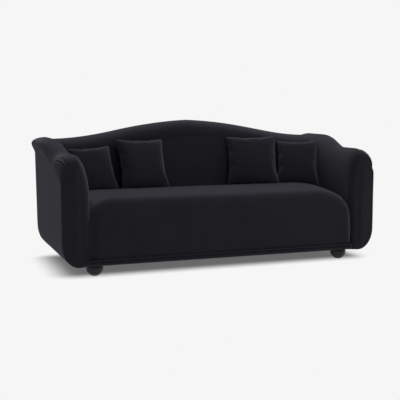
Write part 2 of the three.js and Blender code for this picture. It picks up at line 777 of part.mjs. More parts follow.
// A cushion is squeezed and turned, then lowered until it rests on the seat and moved back until it leans
// on the back
function placedCushion(place) {
  const turned = new THREE.Matrix4().makeRotationZ(place.turn * Math.PI / 180);
  turned.multiply(new THREE.Matrix4().makeRotationX(-place.lean * Math.PI / 180));
  turned.multiply(new THREE.Matrix4().makeRotationY(place.roll * Math.PI / 180));
  turned.multiply(new THREE.Matrix4().makeScale(place.wide, 1, place.tall));
  const { points, triangles } = cushionForm();
  const moved = points.map((point) => point.clone().applyMatrix4(turned));
  const rest = at(place.across * innerX, 0, kneeZ);
  for (let pass = 0; pass < cushionPasses; pass += 1) {
    const roomBehind = Math.min(...moved.map((p) => backFaceAt(p.x + rest.x, p.z + rest.z) - p.y));
    rest.y = roomBehind - clearance * 2;
    const roomBelow = Math.max(...moved.map((p) => seatTopAt(p.x + rest.x, p.y + rest.y) - p.z));
    rest.z = roomBelow + clearance;
  }
  return closedSolid(moved.map((point) => point.add(rest)), triangles);
}

// The inside back's face at a place across it and a height
function backFaceAt(x, z) {
  const top = humpAt(x);
  const rollFoot = top - insideRollDrop;
  const foot = insideBackAt(rollFoot);
  if (z <= rollFoot) {
    return insideBackAt(z);
  }
  const share = clamp((z - rollFoot) / insideRollDrop);
  return mix(foot, ridgeY, roundShare(share));
}

// The finished pieces
const sides = [[-1, "left"], [1, "right"]];

function addFrame() {
  add("front_seat_rail", across(sideRailOutX, [frameFrontY, frontRailRearY], seatFrameZ), "hardwood");
  add("rear_seat_rail", across(sideRailOutX, backRailY, seatFrameZ), "hardwood");
  const stretcherY = [frontRailRearY + clearance, rearRailY - clearance];
  const stretcherZ = [railZ, railTopZ - stretcherDrop];
  add("seat_stretcher", block([-railThick / 2, stretcherY[0], stretcherZ[0]],
    [railThick / 2, stretcherY[1], stretcherZ[1]]), "hardwood");
  for (const [side, name] of sides) {
    for (const [piece, [low, high]] of Object.entries(sideFrame())) {
      const solid = beside(side, [low[0], high[0]], [low[1], high[1]], [low[2], high[2]]);
      add(`${piece}_${name}`, solid, "hardwood");
    }
    add(`arm_front_board_${name}`, armBoard(side, 0), "hardwood");
  }
  for (const [name, [low, high]] of Object.entries(backStuds())) {
    add(name, block(low, high), "hardwood");
  }
  add("back_top_rail", sawnTopRail(0), "hardwood");
}

function addFeet() {
  for (const [side, name] of sides) {
    for (const [y, blockY, end] of [
      [footFrontY, [frontRailRearY + clearance, frontRailRearY + clearance + blockSize], "front"],
      [rearFootY, [rearRailY - clearance - blockSize, rearRailY - clearance], "rear"],
    ]) {
      const boltFootZ = footTopZ - boltSocket + clearance;
      const place = [side * footX, y, 0];
      const bolt = rod(boltRadius, boltFootZ, boltFootZ + boltLength).translate(place);
      const hole = rod(boltRadius + clearance, 0, boltFootZ + boltLength + clearance).translate(place);
      const wood = beside(side, blockX, blockY, [railZ, railZ + blockHigh]).subtract(hole);
      add(`${end}_foot_${name}`, footForm().translate(place), "lacquer");
      add(`${end}_hanger_bolt_${name}`, bolt, "steel");
      add(`${end}_corner_block_${name}`, wood, "hardwood");
    }
  }
}

function addSuspension() {
  const reach = innerX - springFromArm;
  for (let spring = 0; spring < springCount; spring += 1) {
    const x = mix(-reach, reach, spring / (springCount - 1));
    add(`seat_spring_${spring + 1}`, springForm(x), "steel");
  }
  const linerY = [frameFrontY, postY[0] - clearance];
  add("spring_liner", across(seatHalf - clothThick, linerY, [deckZ, deckZ + liningThick]), "lining");
}

function addSeat() {
  const below = across(overrun, [frameFrontY - clearance, overrun], [0, paddingZ]);
  const padding = seatForm(clothThick + clearance).subtract(below);
  add("seat_padding", padding, "foam");
  const hollow = seatForm(clothThick);
  const openFoot = across(overrun, [seatFrontY + tuckUnder, overrun], [0, seatSkirtZ + skirtTurn]);
  const openRear = across(overrun, [frameFrontY - clearance, overrun], [0, paddingZ]);
  const cover = seatForm(0).subtract(hollow).subtract(openFoot).subtract(openRear);
  add("seat_cover", cover, "velvet");
  addBand();
}

// The base band is a padded strip with a rounded lower edge, and the welt lies over it
function addBand() {
  const rearEdgeY = frameFrontY - clearance;
  const outline = [[rearEdgeY, bandTopZ], [rearEdgeY, underside], [bandY + bandRound, underside]];
  outline.push(...quarter(outline[2], [bandY, underside + bandRound], cornerSteps, true));
  outline.push([bandY, bandTopZ]);
  const rings = [-seatHalf, seatHalf].map((x) => outline.map(([y, z]) => at(x, y, z)));
  add("base_band", loft(rings), "velvet");
  const welt = new THREE.CylinderGeometry(weltThick / 2, weltThick / 2, seatHalf * 2, weltSides);
  welt.rotateZ(Math.PI / 2);
  welt.translate(0, seatFrontY + weltThick / 2 + clearance, weltHeight);
  add("front_welt", toSolid(welt), "velvet");
}

function addBack() {
  let padding = backForm(clothThick + clearance).subtract(sawnTopRail(clearance));
  for (const [low, high] of Object.values(backStuds())) {
    padding = padding.subtract(roomFor(low, high));
  }
  add("back_padding", padding, "foam");
  const openFoot = across(overrun, [-overrun, overrun], [0, paddingZ + skirtTurn]);
  const openRear = loft(mirrored(backStationShares, overrun).map((x) => {
    const top = humpAt(x) - backRollDrop - tuckUnder;
    return [at(x, ridgeY, 0), at(x, ridgeY, top), at(x, overrun, top), at(x, overrun, 0)];
  }));
  const cover = backForm(0).subtract(backForm(clothThick)).subtract(openFoot).subtract(openRear);
  add("inside_back_cover", cover, "velvet");
  add("outside_back_panel", outsidePanel(), "velvet");
}

// The dust cover closes the underside from rail to rail, with a hole for each foot
function addDustCover() {
  const run = [frameFrontY, rearRailY + railThick / 2];
  let dust = across(sideRailOutX, run, [footTopZ - liningThick, footTopZ]);
  for (const [side] of sides) {
    for (const y of [footFrontY, rearFootY]) {
      dust = dust.subtract(rod(footRadius * footHoleShare, 0, overrun).translate([side * footX, y, 0]));
    }
  }
  add("dust_cover", dust, "lining");
}

// The outside back: a thin panel on the raked rear, from its tucked foot up to where the back rolls over
function outsidePanel() {
  const half = outerX - armEndRound;
  const stations = [...mirrored(backStationShares, innerX), ...[-half, half]].sort((a, b) => a - b);
  return loft(stations.map((x) => {
    const out = clamp((Math.abs(x) - innerX) / (half - innerX));
    const top = mix(humpAt(x) - backRollDrop, wingHeight - wingRearDrop, out) - clearance;
    const corner = clamp((Math.abs(x) - outerX + sideCornerWide) / sideCornerWide);
    const foot = Math.max(underside, groundGap + sideCornerHigh * roundShare(corner)) + clearance;
    const heights = [...sideFootHeights(), top].map((z) => Math.max(z, foot));
    const skin = (z) => rearAt(z, humpHeight, backRollDeep, backRollDrop) + clearance;
    const inner = heights.map((z, step) => at(x, skin(z), z + step * hairline));
    const outer = heights.map((z, step) => at(x, skin(z) + clothThick, z + step * hairline)).reverse();
    return [...inner, ...outer];
  }));
}

function addArms() {
  for (const [side, name] of sides) {
    const whole = armForm(0, side);
    const hollow = armForm(clothThick, side);
    const frameWindow = beside(side, [0, sideRailOutX + clearance],
      [frameFrontY - clearance, rearRailRearY + clearance], [0, paddingZ]);
    let ruched = whole;
    for (let fold = 0; fold < pleatCount; fold += 1) {
      ruched = ruched.add(pleat(side, mix(...pleatShares, fold / (pleatCount - 1))));
    }
    const front = ruched.subtract(hollow).intersect(beforeSeam(side, -clearance));
    const cover = whole.subtract(hollow).subtract(beforeSeam(side, clearance));
    add(`arm_front_cover_${name}`, front.subtract(frameWindow), "velvet");
    add(`arm_cover_${name}`, cover.subtract(frameWindow), "velvet");
    add(`arm_padding_${name}`, armPadding(side).subtract(frameWindow), "foam");
  }
}

function armPadding(side) {
  let padding = armForm(clothThick + clearance, side).subtract(armBoard(side, clearance));
  for (const [low, high] of Object.values(sideFrame())) {
    const from = low.map((value) => value - clearance);
    const to = high.map((value) => value + clearance);
    padding = padding.subtract(beside(side, [from[0], to[0]], [from[1], to[1]], [from[2], to[2]]));
  }
  return padding;
}

function addCushions() {
  for (const place of cushionPlaceShares) {
    add(place.name, placedCushion(place), "velvet");
  }
}

addFrame();
addFeet();
addSuspension();
addSeat();
addBack();
addDustCover();
addArms();
addCushions();

export default sofa;
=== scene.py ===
# A camelback sofa in black velvet: rolled wings, ruched arm fronts, a tight bench seat, ball feet and four
# loose throw cushions. Metres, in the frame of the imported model.
import json
import math

import bpy
import numpy as np
from mathutils import Matrix, Vector, noise


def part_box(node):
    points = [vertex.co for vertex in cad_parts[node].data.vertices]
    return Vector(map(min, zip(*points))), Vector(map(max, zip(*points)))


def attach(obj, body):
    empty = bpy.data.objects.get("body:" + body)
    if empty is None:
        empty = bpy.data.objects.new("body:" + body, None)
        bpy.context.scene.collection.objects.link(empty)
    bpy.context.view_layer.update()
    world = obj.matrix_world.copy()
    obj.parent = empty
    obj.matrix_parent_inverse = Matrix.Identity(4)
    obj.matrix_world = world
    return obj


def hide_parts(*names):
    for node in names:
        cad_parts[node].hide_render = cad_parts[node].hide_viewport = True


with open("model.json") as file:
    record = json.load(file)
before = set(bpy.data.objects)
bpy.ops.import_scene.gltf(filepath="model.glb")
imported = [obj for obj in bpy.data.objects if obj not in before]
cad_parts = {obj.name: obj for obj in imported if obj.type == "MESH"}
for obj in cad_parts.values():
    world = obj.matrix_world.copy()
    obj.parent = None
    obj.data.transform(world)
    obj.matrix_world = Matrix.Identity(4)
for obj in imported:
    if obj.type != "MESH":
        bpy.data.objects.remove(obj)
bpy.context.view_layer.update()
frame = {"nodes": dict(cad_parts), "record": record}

# Places that the frame gives
seat_low, seat_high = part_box("seat_cover")
back_low, back_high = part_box("inside_back_cover")
arm_low, arm_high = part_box("arm_cover_right")
front_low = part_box("arm_front_cover_right")[0]
panel_low, panel_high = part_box("outside_back_panel")
band_low, band_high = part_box("base_band")
welt_low, welt_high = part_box("front_welt")
MM = 0.001
INNER_X = arm_low.x                 # arm's inner face
FRONT_Y = front_low.y               # arm fronts
SEAT_FRONT = seat_low.y
REAR_Y = panel_high.y               # top of the raked outside back
GROUND_GAP = arm_low.z
HUMP = back_high.z
WING = arm_high.z
SEAT_TOP = seat_high.z
INSIDE_FOOT = back_low.y            # inside back at the seat
WELT_Z = (welt_low.z + welt_high.z) / 2
WELT_R = (welt_high.z - welt_low.z) / 2
SKIRT_Z = seat_low.z                # lower edge of the seat's front
CLEAR = 0.3 * MM
CLOTH = 3 * MM

# Forms of the arms and wings
ARM_WIDE = 174 * MM
OUTER_X = INNER_X + ARM_WIDE
ARM_TOP = 736 * MM
DIP_Z = 733 * MM
DIP_Y = FRONT_Y + 332 * MM
DIP_SOFT_SHARE = 0.08
WING_RUN = 385 * MM
RIDGE_IN = 82 * MM
WING_LEAN = 32 * MM
WING_LIP = 24 * MM
INNER_SHOULDER = 240 * MM
OUTER_SHOULDER = 90 * MM
WING_ROLL = 40 * MM
LIP_NECK = 70 * MM
NECK_Z = ARM_TOP - OUTER_SHOULDER - LIP_NECK
SIDE_CORNER = (105 * MM, 140 * MM)
REAR_CORNER = 62 * MM
END_ROUND = 16 * MM
FACE_CROWN = 7 * MM                 # padding's swell over an arm front
END_CAP_SHARE = 0.6                 # how far an arm's rear end stands out, as a share of its rounding
SPINE_DROP_SHARE = 0.62             # how far the middle of an arm's end lies under its top, in arm widths
OUTLINE_COUNTS = [12, 26, 100, 60, 14, 10, 5]
NEAR_SHARE = 0.14                   # front part of an arm's length, which carries the pleats
FRONT_RINGS = 40
REAR_RINGS = 16
ARM_SWELL = 0.8 * MM
# Rounding of the front edge, towards the middle and towards the rear
SOFT_EDGE = (46 * MM, 44 * MM)      # along the inner face
FULL_EDGE = (50 * MM, 130 * MM)     # over the top and the outer shoulder
CRISP_EDGE = (8 * MM, 8 * MM)       # along the side panel
EDGE_SLIM_SHARE = 0.6               # how much narrower the full edge gets down the outer shoulder

# Forms of the back
BACK_END = 802 * MM
HUMP_FULLNESS = 1.22
HUMP_TAPER = 0.33
BACK_RAKE = 48 * MM
ROLL_DEEP = 140 * MM
ROLL_DROP = 165 * MM
WING_ROLL_DEEP = 95 * MM
WING_REAR_DROP = 110 * MM
INSIDE_DROP = 110 * MM
INSIDE_TOP = REAR_Y - 262 * MM
BACK_SWELL = 1.8 * MM
BACK_SINK = 1.0 * MM
BACK_MARGIN = 60 * MM
PANEL_EDGE = [0, 2, 5, 9, 16]       # millimetres in from the outside back's side edges
PANEL_MARGIN = 20 * MM
PANEL_TURN_IN = 9 * MM
PANEL_WAVE = 0.5 * MM

# Forms of the seat
SEAT_CROWN = 30 * MM
FRONT_CROWN_SHARE = 0.45
FALL_DEEP = 92 * MM
FALL_HIGH = 88 * MM
CORNER_WIDE = (155 * MM, 225 * MM)  # left and right: the left one is padded fuller
CORNER_DROP = (105 * MM, 150 * MM)
CORNER_REAR_DROP = 45 * MM
SEAT_END_ROUND = 50 * MM
END_TUCK = 5 * MM                   # how far the seat, welt and band run on into the arms
BELLY = 7 * MM
PUCKER = 1.2 * MM
SEAT_SWELL = 1.6 * MM
SEAT_SINK = 1.0 * MM
SOFT_MARGIN = 30 * MM               # the swells of a cover fade out towards its ends
WELT_WAVE = 0.35 * MM
BAND_ROUND = 14 * MM                # lower edge of the band
BAND_SWELL = 1.5 * MM
BAND_WAVE = 0.8 * MM
KNEE_Z = SEAT_TOP - SEAT_CROWN
PADDING_Z = back_low.z
ARM_REAR = REAR_Y - CLOTH - CLEAR
REAR_TOP = HUMP - ROLL_DROP
RIDGE_Y = REAR_Y - ROLL_DEEP
INSIDE_ROLL_Z = HUMP - INSIDE_DROP


def mix(a, b, share):
    return a + (b - a) * share


def clamp(value):
    return np.clip(value, 0, 1)


def ease(value):
    value = clamp(value)
    return value * value * (3 - 2 * value)


def bump(value, middle, width):
    """A smooth hill of height 1 about a middle."""
    return np.exp(-(((value - middle) / width) ** 2))


def round_share(share):
    return 1 - np.sqrt(np.maximum(0, 1 - share * share))


def grain(points, size, seed=0.0):
    """Smooth noise from about -1 to 1 at each point, with features of a size in metres."""
    flat = points.reshape(-1, 3) / size
    values = [noise.noise(Vector((x + seed, y - seed, z + seed / 2))) for x, y, z in flat]
    return np.array(values).reshape(points.shape[:-1])


# Grids of points become closed quad meshes
def grid_normals(grid):
    """Normals of a grid of points [row, column], whose columns close on themselves."""
    down = np.gradient(grid, axis=0)
    across = (np.roll(grid, -1, axis=1) - np.roll(grid, 1, axis=1)) / 2
    normal = np.cross(down, across)
    length = np.linalg.norm(normal, axis=-1, keepdims=True)
    return normal / np.maximum(length, 1e-12)


def mesh_object(name, points, faces, material):
    mesh = bpy.data.meshes.new(name)
    mesh.from_pydata([tuple(p) for p in points], [], [tuple(f) for f in faces])
    mesh.update()
    mesh.materials.append(material)
    mesh.polygons.foreach_set("use_smooth", [True] * len(mesh.polygons))
    obj = bpy.data.objects.new(name, mesh)
    bpy.context.scene.collection.objects.link(obj)
    return obj


def outward(obj):
    """Turns all faces so that they point out of a closed mesh."""
    mesh = obj.data
    points = np.array([v.co for v in mesh.vertices])
    volume = 0.0
    for face in mesh.polygons:
        corners = points[list(face.vertices)]
        for place in range(1, len(corners) - 1):
            volume += np.dot(corners[0], np.cross(corners[place], corners[place + 1]))
    if volume < 0:
        mesh.flip_normals()
    return obj


def strip_faces(rows, columns):
    """Quads between rows of points that each close on themselves."""
    faces = []
    for row in range(rows - 1):
        for column in range(columns):
            here = row * columns + column
            beside = row * columns + (column + 1) % columns
            faces.append((here, beside, beside + columns, here + columns))
    return faces


def ladder_faces(ring):
    """Quads that fill a ring like rungs, from its first and last points to its middle."""
    faces = []
    count = len(ring)
    for first in range(count // 2 - 1):
        last = count - 1 - first
        faces.append((ring[first], ring[first + 1], ring[last - 1], ring[last]))
    if count % 2:
        middle = count // 2
        faces.append((ring[middle - 1], ring[middle], ring[middle + 1]))
    return faces


def tube_body(name, grid, material):
    """A closed body over a grid whose columns close on themselves, with both ends filled."""
    rows, columns = grid.shape[:2]
    faces = strip_faces(rows, columns)
    first = list(range(columns))
    last = [(rows - 1) * columns + column for column in first]
    faces += [face[::-1] for face in ladder_faces(first)] + ladder_faces(last)
    return outward(mesh_object(name, grid.reshape(-1, 3), faces, material))


# Arms and wings
PLEATS = 8
PLEAT_HIGH = 7.5 * MM
PLEAT_SHARES = (0.1, 0.94)          # lowest and highest pleat, up the outer shoulder
PLEAT_REACH = 84 * MM               # how far they run in over the arm front
PANEL_PROUD = 1.4 * MM              # the side panel lies over the ends of the pleats
# The seam between the pleats and the side panel, behind the arm front
SIDE_SEAM = 10 * MM
TOP_SEAM = 60 * MM
SEAM_REACH = 165 * MM
SEAM_FULLNESS = 1.4
SEAM_GROOVE = 1.5 * MM
SEAM_GROOVE_WIDE = 2.5 * MM
PLEAT_WANDER = (0.12, 0.1)          # how far the pleats stray across and up, in pleats
PLEAT_WAVE = 23 * MM


def rear_at(z, top, deep, drop):
    """The outside back at a height: it leans back, tucks in at the foot and rolls over at its top."""
    lean = BACK_RAKE * (1 - clamp((z - GROUND_GAP) / (REAR_TOP - GROUND_GAP)))
    tuck = clamp((GROUND_GAP + REAR_CORNER - z) / REAR_CORNER)
    roll = clamp((z - top + drop) / drop)
    return ARM_REAR - lean - REAR_CORNER * round_share(tuck) - deep * round_share(roll)


def wing_share(y):
    along = (y - DIP_Y) / WING_RUN
    soft = clamp((along + np.hypot(along, DIP_SOFT_SHARE)) / 2)
    return np.sin(soft * math.pi / 2)


def outline_steps(counts):
    """Columns round an arm: which stretch of its outline each lies on, and how far along it."""
    stretch = []
    share = []
    for number, count in enumerate(counts):
        for step in range(count):
            stretch.append(number)
            share.append(step / count)
    return np.array(stretch), np.array(share)


def arm_outline(y, columns, inset):
    """Across and up for each column at depth y [row, column], drawn in evenly, on the right arm."""
    stretch, share = columns
    wing = wing_share(y)
    fore = clamp((y - FRONT_Y) / (DIP_Y - FRONT_Y))
    top = mix(mix(ARM_TOP, DIP_Z, fore), WING, wing)
    ridge_x = INNER_X + RIDGE_IN + WING_LEAN * wing
    lip_x = OUTER_X + WING_LIP * wing ** 2
    lip_z = top - mix(OUTER_SHOULDER, WING_ROLL, wing)
    neck_z = lip_z - LIP_NECK
    shoulder_z = top - INNER_SHOULDER
    corner_z = GROUND_GAP + SIDE_CORNER[1]
    turn = share * math.pi / 2
    rise, level = np.sin(turn), 1 - np.cos(turn)
    flat = np.zeros_like(y)
    xs = [INNER_X + flat,
          mix(INNER_X, ridge_x, level),
          mix(ridge_x, lip_x, rise),
          mix(lip_x, OUTER_X, ease(share)),
          OUTER_X + flat,
          mix(OUTER_X, OUTER_X - SIDE_CORNER[0], level) + flat,
          mix(OUTER_X - SIDE_CORNER[0], INNER_X, share) + flat]
    zs = [mix(GROUND_GAP, shoulder_z, share),
          mix(shoulder_z, top, rise),
          mix(top, lip_z, level),
          mix(lip_z, neck_z, share),
          mix(neck_z, corner_z, share),
          mix(corner_z, GROUND_GAP, rise) + flat,
          GROUND_GAP + flat]
    x = np.choose(stretch[None, :].repeat(len(y), 0), xs)
    z = np.choose(stretch[None, :].repeat(len(y), 0), zs)
    return drawn_in(x, INNER_X, lip_x, inset), drawn_in(z, GROUND_GAP, top, inset)


def drawn_in(value, low, high, inset):
    middle = (low + high) / 2
    return middle + (value - middle) * (1 - inset * 2 / (high - low))


def edge_rounds(columns):
    """How wide and how deep the front edge is rounded at each column."""
    stretch, share = columns
    none, whole = np.zeros_like(share), np.ones_like(share)
    full = np.choose(stretch, [none, share, whole, 1 - ease(share), none, none, none])
    crisp = np.choose(stretch, [none, none, none, ease(share), whole, whole, 1 - share])
    slim = np.choose(stretch, [none, none, EDGE_SLIM_SHARE * share, EDGE_SLIM_SHARE + none, none, none, none])
    wide, deep = [full * big + crisp * small + (1 - full - crisp) * soft
                  for big, small, soft in zip(FULL_EDGE, CRISP_EDGE, SOFT_EDGE)]
    return wide * (1 - slim * full), deep


def spine_of(x, z, top):
    """The line up the middle of an arm's end that its rings close on."""
    middle = (INNER_X + OUTER_X) / 2
    return np.full_like(x, middle), np.clip(z, GROUND_GAP + ARM_WIDE / 2, top - ARM_WIDE * SPINE_DROP_SHARE)


def arm_end(x, z, depth_at, radius, rings, top, outward_y, crown):
    """Rings that round an arm's end over, follow its depth at each height and close it on its spine."""
    spine_x, spine_z = spine_of(x, z, top)
    length = np.hypot(spine_x - x, spine_z - z)
    rows = []
    if radius:
        for turn in np.linspace(0, math.pi / 2, 9)[1:]:
            rows.append((radius * (1 - math.cos(turn)) / length, outward_y * radius * math.sin(turn)))
    for step in range(1, rings + 1):
        share = step / rings
        rows.append((mix(radius / length, 1, share), outward_y * (radius + crown * ease(share))))
    cap = []
    for inward, out in rows:
        up = mix(z, spine_z, inward)
        cap.append(np.stack([mix(x, spine_x, inward), depth_at(up) + out, up], -1))
    return cap


def seam_at(z):
    """How far behind the arm front the seam lies at a height on the outer shoulder."""
    up = clamp((z - NECK_Z) / (ARM_TOP - NECK_Z))
    return mix(SIDE_SEAM, TOP_SEAM, up) + SEAM_REACH * np.sin(math.pi * up ** SEAM_FULLNESS)


def panel_at(grid):
    """How far a place on the outer side lies behind the seam, in metres."""
    z = grid[..., 2]
    slope = (seam_at(z + MM) - seam_at(z - MM)) / (2 * MM)
    return (grid[..., 1] - FRONT_Y - seam_at(z)) / np.hypot(1, slope)


def pleat_lift(up, over, seed, x):
    """Height of the pleats, which sink into the arm front where they run in over it."""
    wander = PLEAT_WANDER[0] * np.sin(x / PLEAT_WAVE + seed) + PLEAT_WANDER[1] * np.sin(up * 9 + seed)
    phase = (up - PLEAT_SHARES[0]) / (PLEAT_SHARES[1] - PLEAT_SHARES[0]) * (PLEATS - 1) + wander
    fold = np.abs(np.cos(phase * math.pi)) ** 0.6 - 0.6
    window = ease((phase + 0.7) / 0.5) * ease((PLEATS - 0.3 - phase) / 0.5)
    reach = PLEAT_REACH * mix(0.7, 1.25, clamp(up)) * (1 + 0.25 * np.sin(np.round(phase) * 2.4 + seed))
    return PLEAT_HIGH * fold * window * ease((1 - over / reach) / 0.7)


def shoulder_at(grid, ridge, neck, faces):
    """For every point, how far up the outer shoulder it lies and how far in over the arm front."""
    z = grid[..., 2]
    heights = z.copy()
    heights[:faces] = heights[faces]
    low, high = heights[:, neck:neck + 1], heights[:, ridge:ridge + 1]
    up = (z - low) / (high - low)
    edge = grid[faces, ridge:neck + 1]
    edge_x = np.interp(z[:faces], edge[::-1, 2], edge[::-1, 0])
    over = np.zeros_like(z)
    over[:faces] = np.maximum(0, edge_x - grid[:faces, :, 0])
    return up, over


def arm_depth(z, along):
    """Depth of a place on an arm, between its upright front and its shaped rear."""
    return mix(FRONT_Y, rear_at(z, WING, WING_ROLL_DEEP, WING_REAR_DROP), along)


def arm_shape(side, seed):
    """The arm and its wing in one closed grid of points [row, column]."""
    columns = outline_steps(OUTLINE_COUNTS)
    wide, deep = edge_rounds(columns)
    turn = np.linspace(0, math.pi / 2, 26)[:, None]
    near = np.linspace(0, NEAR_SHARE, 24)[1:, None]
    far = np.linspace(NEAR_SHARE, 1, 46)[1:, None]
    body = mix(FRONT_Y + deep, REAR_Y - END_ROUND, np.vstack([near, far]))
    station = np.vstack([FRONT_Y + deep * (1 - np.cos(turn)), body])
    inset = np.vstack([wide * (1 - np.sin(turn)), np.zeros_like(body)])
    x, z = arm_outline(station, columns, inset)
    along = (station - FRONT_Y) / (REAR_Y - FRONT_Y)
    y = arm_depth(z, along)
    front = arm_end(x[0], z[0], lambda up: arm_depth(up, along[0]),
                    0, FRONT_RINGS, ARM_TOP, -1, FACE_CROWN)
    rear = arm_end(x[-1], z[-1], lambda up: arm_depth(up, along[-1]),
                   END_ROUND * END_CAP_SHARE, REAR_RINGS, WING, 1, 0.0)
    grid = np.array(front[::-1] + list(np.stack([x, y, z], -1)) + rear)
    normal = grid_normals(grid)
    normal *= np.sign(np.sum(normal[..., 0] * (grid[..., 0] - (INNER_X + ARM_WIDE / 2))))
    stretch = columns[0]
    up, over = shoulder_at(grid, int(np.argmax(stretch == 2)), int(np.argmax(stretch == 4)), len(front))
    outer = ((stretch >= 2) & (stretch <= 4))[None, :]
    panel = np.where(outer, panel_at(grid), -1.0)
    lift = pleat_lift(up, over, seed, grid[..., 0]) * ease(-panel / (5 * MM)) * outer
    lift = lift + PANEL_PROUD * ease(panel / (3 * MM)) - SEAM_GROOVE * bump(panel, 0, SEAM_GROOVE_WIDE)
    lift = lift + ARM_SWELL * grain(grid, 0.16, seed)
    grid = grid + normal * lift[..., None]
    grid[..., 0] *= side
    return grid


# Seat
def seat_top_at(x, y):
    edge_y = SEAT_FRONT + FALL_DEEP
    middle = (edge_y + INSIDE_FOOT) / 2
    away = (y - middle) / (INSIDE_FOOT - middle)
    along = clamp((y - edge_y) / (INSIDE_FOOT - edge_y))
    wide, drop = [np.where(x < 0, *pair) for pair in (CORNER_WIDE, CORNER_DROP)]
    corner = round_share(clamp((np.abs(x) - seat_high.x + wide) / wide))
    crown = SEAT_CROWN * mix(FRONT_CROWN_SHARE, 1, along) * away * away
    return SEAT_TOP - crown - corner * mix(drop, CORNER_REAR_DROP, along)


def seat_section(x):
    """Depth and height round the seat at a place across it."""
    half = seat_high.x + END_TUCK
    end = clamp((abs(x) - half + SEAT_END_ROUND) / SEAT_END_ROUND)
    front = SEAT_FRONT + BELLY + SEAT_END_ROUND * round_share(end)
    edge_y = SEAT_FRONT + FALL_DEEP
    edge_z = float(seat_top_at(x, edge_y))
    brow_z = edge_z - FALL_HIGH
    rear = INSIDE_FOOT - CLEAR
    points = [(mix(rear, front, share), SKIRT_Z) for share in np.linspace(0, 1, 8)[:-1]]
    for share in np.linspace(0, 1, 22)[:-1]:
        points.append((front - BELLY * math.sin(share * math.pi), mix(SKIRT_Z, brow_z, share)))
    for turn in np.linspace(0, math.pi / 2, 18)[:-1]:
        points.append((mix(front, edge_y, 1 - math.cos(turn)), mix(brow_z, edge_z, math.sin(turn))))
    for y in np.linspace(edge_y, rear, 26):
        points.append((y, float(seat_top_at(x, y))))
    for share in np.linspace(0, 1, 8)[1:-1]:
        points.append((rear, mix(float(seat_top_at(x, rear)), SKIRT_Z, share)))
    return points


def across_places(half, corner, count):
    """Places from side to side, closer together round the outer corners."""
    middle = np.linspace(0, half - corner, count, endpoint=False)
    outer = half - corner * (1 - np.sin(np.linspace(0, math.pi / 2, count)))
    right = np.concatenate([middle, outer])
    return np.concatenate([-right[:0:-1], right])


def seat_shape():
    """The seat's tight cover, with soft puckers along the welt."""
    places = across_places(seat_high.x + END_TUCK, CORNER_WIDE[1], 30)
    grid = np.array([[(x, y, z) for y, z in seat_section(x)] for x in places])
    normal = grid_normals(grid)
    normal *= np.sign(np.sum(normal[..., 2] * (grid[..., 2] - 0.3)))
    low = np.clip((grid[..., 2] - SKIRT_Z) / (60 * MM), 0, 1)
    pucker = grain(grid * np.array([1, 0.15, 0.12]), 0.03, 7.0) * (1 - low) ** 1.5 * PUCKER
    swell = SEAT_SWELL * grain(grid, 0.22, 3.0)
    rear_gap = INSIDE_FOOT - CLEAR - grid[..., 1]
    inner = clamp((seat_high.x - np.abs(grid[..., 0])) / SOFT_MARGIN) * clamp(rear_gap / SOFT_MARGIN)
    low_edge = clamp((grid[..., 2] - SKIRT_Z) / (6 * MM))
    return grid + normal * ((pucker - SEAT_SINK + swell) * inner * low_edge)[..., None]


def add_seat(velvet):
    seat = tube_body("seat_bench", seat_shape(), velvet)
    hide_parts("seat_cover", "seat_padding")
    finish_soft(seat)
    welt = tube_body("seat_welt", welt_shape(), velvet)
    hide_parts("front_welt")
    finish_soft(welt)
    band = tube_body("base_border", band_shape(), velvet)
    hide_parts("base_band")
    finish_soft(band)


def welt_shape():
    """The covered cord along the foot of the seat's front, slightly uneven."""
    half = welt_high.x + END_TUCK
    turns = np.linspace(0, 2 * math.pi, 16, endpoint=False)
    rows = []
    for x in np.linspace(-half, half, 240):
        wave = WELT_WAVE * noise.noise(Vector((x * 14, 2.0, 0.0)))
        y = welt_low.y + WELT_R + wave
        z = WELT_Z + wave
        rows.append([(x, y + WELT_R * math.cos(turn), z + WELT_R * math.sin(turn)) for turn in turns])
    return np.array(rows)


def band_shape():
    """The padded strip under the welt, rounded along its lower edge."""
    front, rear = band_low.y, band_high.y
    low, high = band_low.z, band_high.z
    section = [(rear, high), (rear, low), (mix(rear, front, 0.5), low)]
    for turn in np.linspace(0, math.pi / 2, 8):
        section.append((front + BAND_ROUND * (1 - math.sin(turn)), low + BAND_ROUND * (1 - math.cos(turn))))
    for share in np.linspace(0, 1, 6)[1:]:
        swell = BAND_SWELL * math.sin(share * math.pi)
        section.append((front - swell, mix(low + BAND_ROUND, high, share)))
    rows = []
    for x in np.linspace(band_low.x - END_TUCK, band_high.x + END_TUCK, 200):
        wave = BAND_WAVE * noise.noise(Vector((x * 9, 5.0, 1.0)))
        rows.append([(x, y + wave * (y < mix(front, rear, 0.4)), z) for y, z in section])
    return np.array(rows)


def finish_soft(obj, body="sofa"):
    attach(obj, body)


# Back
def hump_at(x):
    out = np.abs(x) / INNER_X
    wave = (1 + np.cos(math.pi * clamp(out) ** HUMP_FULLNESS)) / 2
    return mix(BACK_END, HUMP, mix(wave, 1 - out, HUMP_TAPER))


def inside_back_at(z):
    return mix(INSIDE_FOOT, INSIDE_TOP, np.maximum(0, (z - KNEE_Z) / (INSIDE_ROLL_Z - KNEE_Z)))


